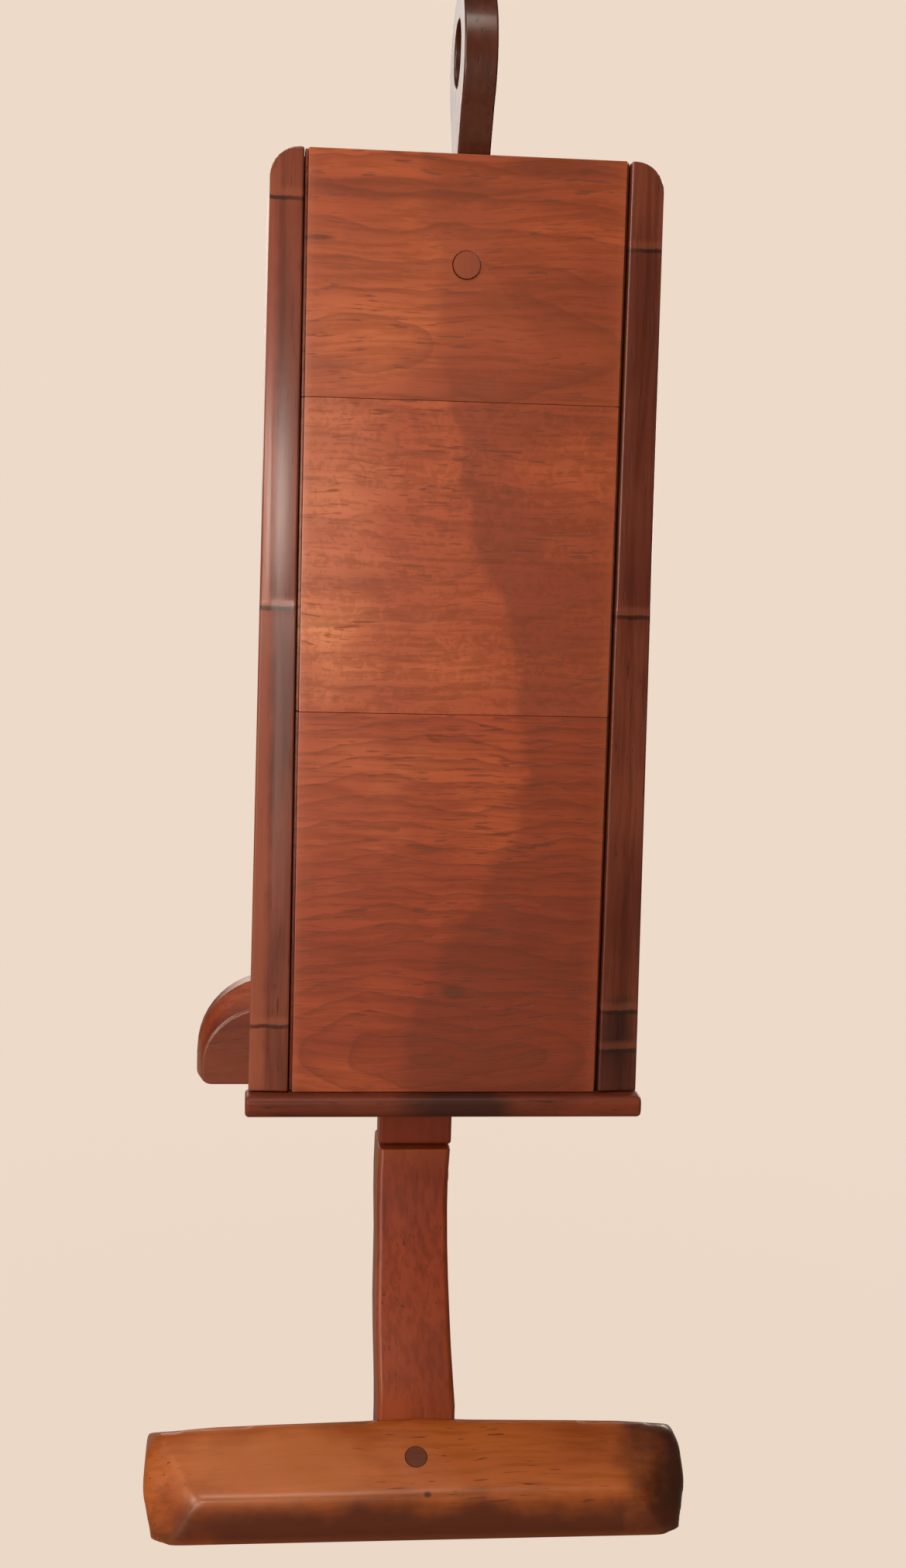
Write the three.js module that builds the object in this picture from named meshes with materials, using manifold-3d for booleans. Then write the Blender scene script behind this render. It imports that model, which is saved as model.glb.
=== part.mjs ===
// Mug tree: a hollow box column on a raked leg and a hipped foot, with a ring handle on top
// and three peg boards behind. Millimetres, +Z up. The plain front of the column faces -Y,
// the pegs point to +Y, and the origin is on the floor under the middle of the foot.

import * as THREE from 'three';
import { mergeVertices } from 'three/addons/utils/BufferGeometryUtils.js';
import { ConvexGeometry } from 'three/addons/geometries/ConvexGeometry.js';
import Module from 'manifold-3d';

const wasm = await Module();
wasm.setup();

// ---------- driving dimensions ----------

const gap = 0.3; // between pieces that touch

const column = { width: 122, depth: 102, floor: 167.6, top: 471, cornerRadius: 8 };
const frontY = -86; // outer face of the front boards
const behind = (distance) => frontY + distance;

const floorBoard = { thickness: 7.1 };
const wallZ = column.floor + floorBoard.thickness + gap; // where the walls stand
const wall = 8;

const strip = { width: 10.4, depth: 11, flare: 2.3, flareHeight: 14 };
const frontBoard = {
  halfWidth: 49.3,
  thickness: 9,
  jointHeights: [298, 396],
  tongueHalfWidth: 50.3, // a set-back lip that closes the slit beside each board
  tongueSetBack: 3.5,
};
const moulding = { halfWidth: 64.3, projection: 5, depth: 11, height: 7.4 };
const rail = { thickness: 10, height: 26, lowerZ: 195, upperZ: 424 };

const foot = {
  halfLength: 98.3,
  frontEdge: 41, // distances behind the column's front face
  bevelEdge: 42, // where the front bevel starts
  ridge: 66,
  rearEdge: 128,
  bevelHeight: 16,
  ridgeHeight: 35,
};
const leg = {
  width: 27,
  shoulder: 125.6,
  topFront: 98,
  topRear: 124,
  footFront: 66.3,
  footRear: 93,
  chamfer: 1.6,
};
const legSocketFloor = 5;
const spine = { width: 27, thickness: 14, top: 446 };
const spineY = behind(column.depth + gap);
const tenon = { width: 11, thickness: 9, length: 26 };

const ring = {
  offset: 2,
  thickness: 10.4,
  radius: 22.5,
  hole: 10.5,
  holeRise: 3,
  centre: 15.2,
  height: 500.5,
  edge: 1.6,
};
const ringTenon = { width: 7, depth: 11, length: 21 };

const pegBoardY = spineY + spine.thickness + gap;
const pegBoards = [
  { name: 'lower_arm', halfLength: 82, bottom: 145.2, height: 40, corner: 29, pegX: 47, splay: 0 },
  { name: 'middle_arm', halfLength: 54, bottom: 272, height: 36, corner: 24, pegX: 36, splay: 12 },
  { name: 'upper_arm', halfLength: 54, bottom: 392, height: 36, corner: 24, pegX: 36, splay: 12 },
];
const pegBoard = { thickness: 18, bevelDepth: 8, lowerCorner: 4, frontWidth: 0.976, frontHeight: 0.76 };
const peg = { radius: 5.5, rise: 15, reach: 52, root: 11 };

const plug = { radius: 4.2, length: 4 };
const footPlug = { radius: 3.9, length: 4 };
const screw = { radius: 1.7, headRadius: 3.5, headHeight: 2.4 };

// ---------- finishes ----------

const finish = (color, roughness, metalness = 0) =>
  new THREE.MeshStandardMaterial({ color, roughness, metalness });

const redWood = finish('#9a4f2f', 0.4);
const darkWood = finish('#6f3a28', 0.4);
const legWood = finish('#83361b', 0.4);
const goldenWood = finish('#a1582f', 0.4);
const plugWood = finish('#7c3d26', 0.45);
const innerWood = finish('#a8795a', 0.7);
const steel = finish('#8f9296', 0.35, 0.9);

// ---------- shaping ----------

const toSolid = (geometry) => {
  const bare = geometry.clone();
  bare.deleteAttribute('normal');
  bare.deleteAttribute('uv');
  const merged = mergeVertices(bare, 1e-4);
  return new wasm.Manifold(
    new wasm.Mesh({
      numProp: 3,
      vertProperties: new Float32Array(merged.attributes.position.array),
      triVerts: new Uint32Array(merged.index.array),
    }),
  );
};

const toGeometry = (solid) => {
  const { vertProperties, triVerts } = solid.getMesh();
  const geometry = new THREE.BufferGeometry();
  geometry.setAttribute('position', new THREE.BufferAttribute(vertProperties, 3));
  geometry.setIndex(new THREE.BufferAttribute(triVerts, 1));
  return geometry;
};

const cut = (geometry, ...tools) =>
  toGeometry(tools.reduce((solid, tool) => solid.subtract(toSolid(tool)), toSolid(geometry)));

const join = (geometry, ...others) =>
  toGeometry(others.reduce((solid, other) => solid.add(toSolid(other)), toSolid(geometry)));

// A box between two corners.
const block = ([x0, x1], [y0, y1], [z0, z1]) =>
  new THREE.BoxGeometry(x1 - x0, y1 - y0, z1 - z0)
    .translate((x0 + x1) / 2, (y0 + y1) / 2, (z0 + z1) / 2);

const extrude = (shape, length, edge, curveSegments) =>
  new THREE.ExtrudeGeometry(shape, {
    depth: length - 2 * edge,
    bevelEnabled: edge > 0,
    bevelThickness: edge,
    bevelSize: edge,
    bevelOffset: -edge,
    bevelSegments: 2,
    curveSegments,
  }).translate(0, 0, edge);

// An outline drawn in X and Z, made solid from y0 to y1.
const slabAlongY = (shape, y0, y1, edge = 0, curveSegments = 8) =>
  extrude(shape, y1 - y0, edge, curveSegments).rotateX(Math.PI / 2).translate(0, y1, 0);

// An outline drawn in Y and Z, made solid from x0 to x1.
const slabAlongX = (shape, x0, x1, edge = 0, curveSegments = 8) => {
  const turn = new THREE.Matrix4().makeBasis(
    new THREE.Vector3(0, 1, 0),
    new THREE.Vector3(0, 0, 1),
    new THREE.Vector3(1, 0, 0),
  );
  return extrude(shape, x1 - x0, edge, curveSegments).applyMatrix4(turn).translate(x0, 0, 0);
};

// A turned piece: profile points are [radius, distance along the axis] from `start` along `axis`.
const turned = (profile, start, axis, segments = 20) => {
  const along = new THREE.Vector3(...axis).normalize();
  const turn = new THREE.Quaternion().setFromUnitVectors(new THREE.Vector3(0, 1, 0), along);
  const points = profile.map(([radius, distance]) => new THREE.Vector2(radius, distance));
  return new THREE.LatheGeometry(points, segments).applyQuaternion(turn).translate(...start);
};

const rod = (radius, length, start, axis, segments = 20) =>
  turned([[0, 0], [radius, 0], [radius, length], [0, length]], start, axis, segments);

const mirrorX = (geometry) => {
  const mirrored = geometry.clone().scale(-1, 1, 1);
  const places = mirrored.attributes.position;
  for (let i = 0; i < places.count; i += 3) {
    const first = new THREE.Vector3().fromBufferAttribute(places, i);
    const second = new THREE.Vector3().fromBufferAttribute(places, i + 1);
    places.setXYZ(i, second.x, second.y, second.z);
    places.setXYZ(i + 1, first.x, first.y, first.z);
  }
  return mirrored;
};

const mugTree = new THREE.Group();

const add = (name, geometry, material) => {
  const mesh = new THREE.Mesh(geometry, material);
  mesh.name = name;
  mugTree.add(mesh);
};

// A wood screw whose countersunk head lies at `start`, and the hole that it needs.
const screwSolid = (length, start, axis) =>
  turned(
    [
      [0, 0],
      [screw.headRadius, 0],
      [screw.radius, screw.headHeight],
      [screw.radius, length - 4],
      [0, length],
    ],
    start,
    axis,
    12,
  );

const screwHole = (length, start, axis) =>
  rod(screw.headRadius + gap, length + gap, start, axis, 16);

// ---------- foot ----------

// A hipped bar: a steep front, a bevel up to a crowned ridge, and a long slope behind.
const footCorners = () => {
  const half = foot.halfLength;
  const side = [
    [78.7, foot.bevelEdge, foot.bevelHeight],
    [88, foot.frontEdge, 0],
    [half - 3.5, foot.frontEdge + 4, 0],
    [half, foot.frontEdge + 15.5, 14.5],
    [half - 2.5, foot.ridge - 4.7, 24],
    [half - 7.3, foot.ridge, 31.5],
    [half, foot.rearEdge - 20, 11],
    [half - 3.5, foot.rearEdge - 9, 0],
    [88, foot.rearEdge, 0],
    [88, foot.rearEdge, 2],
  ];
  const points = [[0, foot.ridge, foot.ridgeHeight]];
  for (const [x, distance, z] of side) points.push([x, distance, z], [-x, distance, z]);
  return points.map(([x, distance, z]) => new THREE.Vector3(x, behind(distance), z));
};

// The screw goes in through the front bevel, square to it.
const bevelSlope = Math.atan2(foot.ridgeHeight - foot.bevelHeight, foot.ridge - foot.bevelEdge);
const intoFoot = [0, Math.sin(bevelSlope), -Math.cos(bevelSlope)];
const footPlugAt = [-0.9, behind(53.9), 25.4];
const fromFootPlug = (distance) => footPlugAt.map((value, i) => value + distance * intoFoot[i]);

const footSocket = block(
  [-leg.width / 2 - gap, leg.width / 2 + gap],
  [behind(leg.footFront - gap), behind(leg.footRear + gap)],
  [legSocketFloor, foot.ridgeHeight + 10],
);
const footScrewLength = 22;
const footHeadDepth = footPlug.length + gap;

add(
  'foot_bar',
  cut(
    new ConvexGeometry(footCorners()),
    footSocket,
    rod(footPlug.radius + gap, footHeadDepth + 2, fromFootPlug(-2), intoFoot),
    screwHole(footScrewLength, fromFootPlug(footHeadDepth - 0.1), intoFoot),
  ),
  goldenWood,
);
add('foot_plug', rod(footPlug.radius, footPlug.length, fromFootPlug(0), intoFoot), plugWood);
add('foot_screw', screwSolid(footScrewLength, fromFootPlug(footHeadDepth), intoFoot), steel);

// ---------- leg and spine ----------

const legProfile = () => {
  const shape = new THREE.Shape();
  shape.moveTo(behind(leg.footFront), legSocketFloor + gap);
  shape.lineTo(behind(leg.footFront), 38);
  shape.bezierCurveTo(behind(70), 66, behind(96), 86, behind(leg.topFront), leg.shoulder);
  shape.lineTo(behind(leg.topRear), leg.shoulder);
  shape.bezierCurveTo(behind(leg.topRear - 1), 92, behind(98), 62, behind(leg.footRear), 30);
  shape.lineTo(behind(leg.footRear), legSocketFloor + gap);
  return shape;
};

const halfLeg = leg.width / 2;
const tenonY = spineY + (spine.thickness - tenon.thickness) / 2;
const legPin = { radius: 3, height: leg.shoulder - 13 };
const legPinHole = rod(
  legPin.radius + gap,
  leg.width + 4,
  [-halfLeg - 2, tenonY + tenon.thickness / 2, legPin.height],
  [1, 0, 0],
);

add(
  'leg',
  cut(
    slabAlongX(legProfile(), -halfLeg, halfLeg, leg.chamfer, 10),
    block(
      [-tenon.width / 2 - gap, tenon.width / 2 + gap],
      [tenonY - gap, tenonY + tenon.thickness + gap],
      [leg.shoulder - tenon.length - gap, leg.shoulder + 5],
    ),
    legPinHole,
    screwHole(footScrewLength, fromFootPlug(footHeadDepth), intoFoot),
  ),
  legWood,
);

const screwHeights = pegBoards.map((board) => board.bottom + board.height * 0.45);
const spineScrewLength = 36;
const spineScrewStart = pegBoardY + pegBoard.thickness - 6;
const spineScrewHole = (z) => screwHole(spineScrewLength, [0, spineScrewStart, z], [0, -1, 0]);
const wallScrewHeights = screwHeights.slice(1); // the lowest screw ends in the spine

add(
  'spine',
  cut(
    join(
      block(
        [-spine.width / 2, spine.width / 2],
        [spineY, spineY + spine.thickness],
        [leg.shoulder + gap, spine.top],
      ),
      block(
        [-tenon.width / 2, tenon.width / 2],
        [tenonY, tenonY + tenon.thickness],
        [leg.shoulder - tenon.length, leg.shoulder + 5],
      ),
    ),
    legPinHole,
    ...screwHeights.map(spineScrewHole),
  ),
  legWood,
);
add(
  'leg_pin',
  rod(legPin.radius, leg.width, [-halfLeg, tenonY + tenon.thickness / 2, legPin.height], [1, 0, 0]),
  plugWood,
);

// ---------- column walls ----------

const halfWidth = column.width / 2;

// An upright of the column's left side, with the rounded top corner.
const uprightOutline = (innerX, flare = 0, flareHeight = 1) => {
  const shape = new THREE.Shape();
  const arcX = -halfWidth + column.cornerRadius;
  shape.moveTo(-innerX, wallZ);
  shape.lineTo(-halfWidth - flare, wallZ);
  shape.quadraticCurveTo(-halfWidth, wallZ + flareHeight * 0.3, -halfWidth, wallZ + flareHeight);
  shape.lineTo(-halfWidth, column.top - column.cornerRadius);
  shape.absarc(arcX, column.top - column.cornerRadius, column.cornerRadius, Math.PI, Math.PI / 2, true);
  shape.lineTo(-innerX, column.top);
  return shape;
};

const leftStrip = slabAlongY(
  uprightOutline(halfWidth - strip.width, strip.flare, strip.flareHeight),
  frontY,
  behind(strip.depth),
  0,
  6,
);
const leftSide = slabAlongY(
  uprightOutline(halfWidth - wall),
  behind(strip.depth + gap),
  behind(column.depth),
  0,
  6,
);
add('left_strip', leftStrip, darkWood);
add('right_strip', mirrorX(leftStrip), darkWood);
add('left_side', leftSide, redWood);
add('right_side', mirrorX(leftSide), redWood);

// ---------- front boards ----------

const panelPlugZ = 437.6;
const panelHeadDepth = plug.length + gap;
const panelScrewLength = 13;
const inwards = [0, 1, 0];
const panelPlugHole = rod(
  plug.radius + gap,
  panelHeadDepth + 2,
  [0, frontY - 2, panelPlugZ],
  inwards,
);
const panelScrewHole = screwHole(
  panelScrewLength,
  [0, behind(panelHeadDepth - 0.1), panelPlugZ],
  inwards,
);
const boardHeights = [wallZ, ...frontBoard.jointHeights, column.top];
const boardNames = ['front_board_lower', 'front_board_middle', 'front_board_upper'];

boardNames.forEach((name, i) => {
  const bottom = boardHeights[i] + (i > 0 ? gap / 2 : 0);
  const top = boardHeights[i + 1] - (i < 2 ? gap / 2 : 0);
  const face = block(
    [-frontBoard.halfWidth, frontBoard.halfWidth],
    [frontY, behind(frontBoard.thickness)],
    [bottom, top],
  );
  const tongues = block(
    [-frontBoard.tongueHalfWidth, frontBoard.tongueHalfWidth],
    [behind(frontBoard.tongueSetBack), behind(frontBoard.thickness)],
    [bottom, top],
  );
  const board = join(face, tongues);
  add(name, i === 2 ? cut(board, panelPlugHole, panelScrewHole) : board, redWood);
});
add('panel_plug', rod(plug.radius, plug.length, [0, frontY, panelPlugZ], inwards), plugWood);
add(
  'panel_screw',
  screwSolid(panelScrewLength, [0, behind(panelHeadDepth), panelPlugZ], inwards),
  steel,
);

const innerHalf = halfWidth - wall - gap;
const railY = [behind(strip.depth + gap), behind(strip.depth + gap + rail.thickness)];
const railBlock = (z) => block([-innerHalf, innerHalf], railY, [z, z + rail.height]);
add('lower_rail', railBlock(rail.lowerZ), innerWood);
add('upper_rail', cut(railBlock(rail.upperZ), panelScrewHole), innerWood);

// ---------- back, top and bottom ----------

const backY = behind(column.depth - wall);
add(
  'back_board',
  cut(
    block([-innerHalf, innerHalf], [backY, behind(column.depth)], [wallZ, column.top]),
    ...wallScrewHeights.map(spineScrewHole),
  ),
  redWood,
);

const ringTenonY = behind(ring.centre);
const topThickness = 9;
add(
  'top_board',
  cut(
    block(
      [-innerHalf, innerHalf],
      [behind(strip.depth + gap), backY - gap],
      [column.top - topThickness, column.top - 1],
    ),
    block(
      [ring.offset - ringTenon.width / 2 - gap, ring.offset + ringTenon.width / 2 + gap],
      [ringTenonY - ringTenon.depth / 2 - gap, ringTenonY + ringTenon.depth / 2 + gap],
      [column.top - 20, column.top + 5],
    ),
  ),
  redWood,
);
add(
  'bottom_board',
  block(
    [-halfWidth, halfWidth],
    [behind(moulding.depth - moulding.projection + gap), behind(column.depth)],
    [column.floor, column.floor + floorBoard.thickness],
  ),
  redWood,
);

// ---------- base moulding ----------

const mouldingOutline = () => {
  const round = moulding.height / 2;
  const nose = frontY - moulding.projection + round;
  const shape = new THREE.Shape();
  shape.moveTo(behind(moulding.depth - moulding.projection), column.floor);
  shape.lineTo(behind(moulding.depth - moulding.projection), column.floor + floorBoard.thickness);
  shape.lineTo(nose, column.floor + floorBoard.thickness);
  shape.absellipse(
    nose,
    column.floor + floorBoard.thickness / 2,
    round,
    floorBoard.thickness / 2,
    Math.PI / 2,
    Math.PI * 1.5,
    false,
  );
  return shape;
};
add(
  'base_moulding',
  slabAlongX(mouldingOutline(), -moulding.halfWidth, moulding.halfWidth, 1.4, 10),
  darkWood,
);

// ---------- ring handle ----------

const ringY = behind(ring.centre);
const ringOutline = () => {
  const shape = new THREE.Shape();
  const lean = Math.PI / 4; // where the round rim meets the neck
  const reach = ring.radius * Math.cos(lean);
  const seat = column.top + gap;
  shape.moveTo(ringTenonY - 8.7, seat);
  shape.quadraticCurveTo(ringTenonY - 9.5, seat + 8, ringY - reach, ring.height - reach);
  shape.absarc(ringY, ring.height, ring.radius, Math.PI + lean, -lean, true);
  shape.quadraticCurveTo(ringTenonY + 9.5, seat + 8, ringTenonY + 8.7, seat);
  const hole = new THREE.Path();
  hole.absarc(ringY, ring.height + ring.holeRise, ring.hole, 0, Math.PI * 2, false);
  shape.holes.push(hole);
  return shape;
};
const ringTenonZ = [column.top - ringTenon.length, column.top + 4];
const ringPin = { radius: 2, length: 24, z: column.top - topThickness - gap - 2 };
const ringPinAt = [ring.offset - ringPin.length / 2, ringTenonY, ringPin.z];
add(
  'ring_handle',
  cut(
    join(
      slabAlongX(
        ringOutline(),
        ring.offset - ring.thickness / 2,
        ring.offset + ring.thickness / 2,
        ring.edge,
        12,
      ),
      block(
        [ring.offset - ringTenon.width / 2, ring.offset + ringTenon.width / 2],
        [ringTenonY - ringTenon.depth / 2, ringTenonY + ringTenon.depth / 2],
        ringTenonZ,
      ),
    ),
    rod(ringPin.radius + gap, ringPin.length, ringPinAt, [1, 0, 0], 16),
  ),
  darkWood,
);
add('ring_pin', rod(ringPin.radius, ringPin.length, ringPinAt, [1, 0, 0], 16), plugWood);

// ---------- peg boards, pegs, screws and plugs ----------

// Quarter-round upper corners, small lower ones.
const pegBoardOutline = ({ halfLength, bottom, height, corner }) => {
  const shape = new THREE.Shape();
  const low = pegBoard.lowerCorner;
  const top = bottom + height;
  shape.moveTo(-halfLength + low, bottom);
  shape.lineTo(halfLength - low, bottom);
  shape.absarc(halfLength - low, bottom + low, low, -Math.PI / 2, 0, false);
  shape.lineTo(halfLength, top - corner);
  shape.absarc(halfLength - corner, top - corner, corner, 0, Math.PI / 2, false);
  shape.lineTo(-halfLength + corner, top);
  shape.absarc(-halfLength + corner, top - corner, corner, Math.PI / 2, Math.PI, false);
  shape.lineTo(-halfLength, bottom + low);
  shape.absarc(-halfLength + low, bottom + low, low, Math.PI, Math.PI * 1.5, false);
  return shape;
};

// Towards the column the board narrows in a wide bevel along its top, less at its ends.
const pegBoardSolid = (board) => {
  const places = [];
  for (const point of pegBoardOutline(board).getPoints(6)) {
    const frontX = point.x * pegBoard.frontWidth;
    const frontZ = board.bottom + (point.y - board.bottom) * pegBoard.frontHeight;
    places.push(new THREE.Vector3(frontX, pegBoardY, frontZ));
    places.push(new THREE.Vector3(point.x, pegBoardY + pegBoard.bevelDepth, point.y));
    places.push(new THREE.Vector3(point.x, pegBoardY + pegBoard.thickness, point.y));
  }
  return new ConvexGeometry(places);
};

const radians = (degrees) => (degrees * Math.PI) / 180;

pegBoards.forEach((board, i) => {
  const label = board.name.replace('_arm', '');
  const screwZ = screwHeights[i];
  const pegZ = board.bottom + board.height * 0.45;
  const boardBackY = pegBoardY + pegBoard.thickness;
  const pegSolids = [];
  const sockets = [];
  for (const side of [-1, 1]) {
    const rise = radians(peg.rise);
    const splay = radians(board.splay) * side;
    const axis = [
      Math.sin(splay) * Math.cos(rise),
      Math.cos(splay) * Math.cos(rise),
      Math.sin(rise),
    ];
    const mouth = [side * board.pegX, boardBackY, pegZ];
    const start = mouth.map((value, k) => value - axis[k] * peg.root);
    const length = peg.root + peg.reach;
    const tip = [0.95, 0.8, 0.55, 0.25].map((part) => [
      peg.radius * part,
      length - peg.radius * (1 - Math.sqrt(1 - part * part)),
    ]);
    const shoulder = [peg.radius, length - peg.radius];
    const profile = [[0, 0], [peg.radius, 0], shoulder, ...tip, [0, length]];
    pegSolids.push([side < 0 ? 'left' : 'right', turned(profile, start, axis, 20)]);
    const socketStart = start.map((value, k) => value - axis[k] * gap);
    sockets.push(rod(peg.radius + gap, peg.root * 3, socketStart, axis));
  }
  const plugDepth = 6 - gap;
  add(
    board.name,
    cut(
      pegBoardSolid(board),
      ...sockets,
      screwHole(spineScrewLength, [0, spineScrewStart + 0.1, screwZ], [0, -1, 0]),
      rod(plug.radius + gap, plugDepth + gap + 2, [0, boardBackY + 2, screwZ], [0, -1, 0]),
    ),
    redWood,
  );
  for (const [side, solid] of pegSolids) add(`${label}_peg_${side}`, solid, goldenWood);
  add(
    `${label}_arm_screw`,
    screwSolid(i ? spineScrewLength : 24, [0, spineScrewStart, screwZ], [0, -1, 0]),
    steel,
  );
  add(
    `${label}_arm_plug`,
    rod(plug.radius, plugDepth, [0, boardBackY, screwZ], [0, -1, 0]),
    plugWood,
  );
});

export default mugTree;
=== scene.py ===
import math

import bpy
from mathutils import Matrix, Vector


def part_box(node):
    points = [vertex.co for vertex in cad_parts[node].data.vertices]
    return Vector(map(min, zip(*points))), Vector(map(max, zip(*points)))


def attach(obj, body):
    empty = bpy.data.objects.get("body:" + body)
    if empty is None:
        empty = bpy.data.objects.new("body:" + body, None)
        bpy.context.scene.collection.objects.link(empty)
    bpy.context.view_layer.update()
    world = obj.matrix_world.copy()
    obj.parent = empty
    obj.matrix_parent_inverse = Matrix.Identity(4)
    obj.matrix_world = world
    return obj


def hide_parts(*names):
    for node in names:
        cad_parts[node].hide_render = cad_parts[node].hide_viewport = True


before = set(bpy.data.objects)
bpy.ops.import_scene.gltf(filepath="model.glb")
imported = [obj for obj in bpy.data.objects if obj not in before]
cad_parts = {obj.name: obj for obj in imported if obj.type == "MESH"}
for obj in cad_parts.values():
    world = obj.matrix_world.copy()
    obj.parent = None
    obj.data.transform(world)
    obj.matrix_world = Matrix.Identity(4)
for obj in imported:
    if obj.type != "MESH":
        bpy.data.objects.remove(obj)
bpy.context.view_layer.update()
print("frame loaded:", len(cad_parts), "nodes")

mm = 0.001
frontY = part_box("front_board_lower")[0].y  # the column's front face


# A place on the depth axis, given in millimetres behind the column's front face.
def behind(distance):
    return frontY + distance * mm


# True where two places on one axis are the same, apart from rounding.
def at(first, second, within=1e-5):
    return abs(first - second) < within


def deselectAll():
    bpy.ops.object.select_all(action="DESELECT")


def activate(piece):
    deselectAll()
    piece.select_set(True)
    bpy.context.view_layer.objects.active = piece


def bakePlace(piece):
    activate(piece)
    bpy.ops.object.transform_apply(location=True, rotation=True, scale=True)
    return piece


def addBox(name, low, high):
    deselectAll()
    size = [b - a for a, b in zip(low, high)]
    centre = [(a + b) / 2 for a, b in zip(low, high)]
    bpy.ops.mesh.primitive_cube_add(size=1, location=centre, scale=size)
    piece = bpy.context.object
    piece.name = name
    return bakePlace(piece)


# Opens a piece for editing with the faces, edges or points that pass a test selected.
def openEdit(piece, kind="FACE", test=None):
    activate(piece)
    bpy.ops.object.mode_set(mode="EDIT")
    bpy.ops.mesh.select_mode(type=kind)
    bpy.ops.mesh.select_all(action="DESELECT")
    bpy.ops.object.mode_set(mode="OBJECT")
    mesh = piece.data
    if kind == "VERT":
        for point in mesh.vertices:
            point.select = test is None or test(point.co)
    elif kind == "EDGE":
        for edge in mesh.edges:
            first, second = (mesh.vertices[i].co for i in edge.vertices)
            edge.select = test is None or test(first, second)
    else:
        for face in mesh.polygons:
            face.select = test is None or test(face.center, face.normal)
    bpy.ops.object.mode_set(mode="EDIT")


def closeEdit():
    bpy.ops.object.mode_set(mode="OBJECT")


# Cuts new edges along a plane and takes nothing away.
def cutAcross(piece, point, normal):
    openEdit(piece)
    bpy.ops.mesh.bisect(plane_co=point, plane_no=normal)
    closeEdit()


# Planes off everything on the far side of a slanted plane.
def planeOff(piece, point, normal):
    openEdit(piece)
    bpy.ops.mesh.bisect(plane_co=point, plane_no=Vector(normal).normalized(), use_fill=True,
                        clear_outer=True)
    closeEdit()


def movePoints(piece, test, by):
    openEdit(piece, "VERT", test)
    bpy.ops.transform.translate(value=by)
    closeEdit()


def roundEdges(piece, test, radius, steps):
    openEdit(piece, "EDGE", test)
    bpy.ops.mesh.bevel(offset=radius, segments=steps, affect="EDGES")
    closeEdit()


# Rounds the upper outer corner of an upright board at one side.
def roundTopCorner(piece, x, top, radius):
    roundEdges(piece, lambda a, b: at(a.x, x) and at(b.x, x) and at(a.z, top) and at(b.z, top), radius, 8)


def applyModifier(piece, kind, **settings):
    modifier = piece.modifiers.new("shape", kind)
    for key, value in settings.items():
        setattr(modifier, key, value)
    activate(piece)
    bpy.ops.object.modifier_apply(modifier=modifier.name)


# Rounds every edge that turns by more than an angle in degrees.
def soften(piece, width, steps, above):
    applyModifier(piece, "BEVEL", width=width, segments=steps, limit_method="ANGLE",
                  angle_limit=math.radians(above), miter_outer="MITER_ARC")


# Smooth shading in which the large faces stay flat and only the rounded edges turn.
def shadeSmooth(piece, angle):
    activate(piece)
    bpy.ops.object.shade_smooth_by_angle(angle=math.radians(angle))
    applyModifier(piece, "WEIGHTED_NORMAL", weight=100, keep_sharp=True)


def repairNormals(piece):
    openEdit(piece)
    bpy.ops.mesh.remove_doubles(threshold=0.00001)
    bpy.ops.mesh.select_all(action="SELECT")
    bpy.ops.mesh.normals_make_consistent(inside=False)
    closeEdit()


# Cuts one piece's shape out of another and removes the cutter.
def carve(piece, cutter):
    applyModifier(piece, "BOOLEAN", operation="DIFFERENCE", object=cutter, solver="EXACT")
    bpy.data.objects.remove(cutter)


# Drills the hole that a round plug sits in.
def drillHole(piece, plug, gap, depth, place, turn=math.pi / 2):
    low, high = plug
    deselectAll()
    bpy.ops.mesh.primitive_cylinder_add(vertices=64, radius=(high.x - low.x) / 2 + gap, depth=depth,
                                        location=place, rotation=(turn, 0, 0))
    carve(piece, bakePlace(bpy.context.object))


def middleHeight(box):
    return (box[0].z + box[1].z) / 2


def finishPiece(piece, material, slot, *nodes):
    piece.data.materials.clear()
    piece.data.materials.append(material)
    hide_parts(*nodes)
    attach(piece, "root")


# Feeds a node's sockets: another node's output is linked, anything else is set.
def feed(tree, node, sockets):
    for key, value in sockets.items():
        if isinstance(value, bpy.types.NodeSocket):
            tree.links.new(value, node.inputs[key])
        else:
            node.inputs[key].default_value = value
    return node


def put(tree, kind, sockets=None, **settings):
    node = tree.nodes.new("ShaderNode" + kind)
    for key, value in settings.items():
        setattr(node, key, value)
    return feed(tree, node, sockets or {})


def calc(tree, operation, first, second=0.0, clamp=False):
    return put(tree, "Math", {0: first, 1: second}, operation=operation, use_clamp=clamp).outputs[0]


# Rises smoothly from 0 at the first value to 1 at the second, which may be the smaller one.
def ramp(tree, source, low, high):
    sockets = {"Value": source, "From Min": low, "From Max": high}
    return put(tree, "MapRange", sockets, interpolation_type="SMOOTHSTEP").outputs[0]


def blendColor(tree, factor, first, second, mode="MIX"):
    sockets = {0: factor, 6: first, 7: second}  # the mix node's colour sockets
    return put(tree, "Mix", sockets, data_type="RGBA", blend_type=mode).outputs[2]


# A linear colour from a six-figure web colour.
def colour(text):
    parts = [int(text[i:i + 2], 16) / 255 for i in (0, 2, 4)]
    linear = [p / 12.92 if p <= 0.04045 else ((p + 0.055) / 1.055) ** 2.4 for p in parts]
    return (*linear, 1.0)


# A new node group, with what comes in and what goes out.
def newGroup(name, inputs, outputs):
    group = bpy.data.node_groups.new(name, "ShaderNodeTree")
    for label, kind, value in inputs:
        socket = group.interface.new_socket(label, in_out="INPUT", socket_type="NodeSocket" + kind)
        if value is not None:
            socket.default_value = value
    for label, kind in outputs:
        group.interface.new_socket(label, in_out="OUTPUT", socket_type="NodeSocket" + kind)
    start = group.nodes.new("NodeGroupInput")
    end = group.nodes.new("NodeGroupOutput")
    return group, start.outputs, end.inputs


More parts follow.
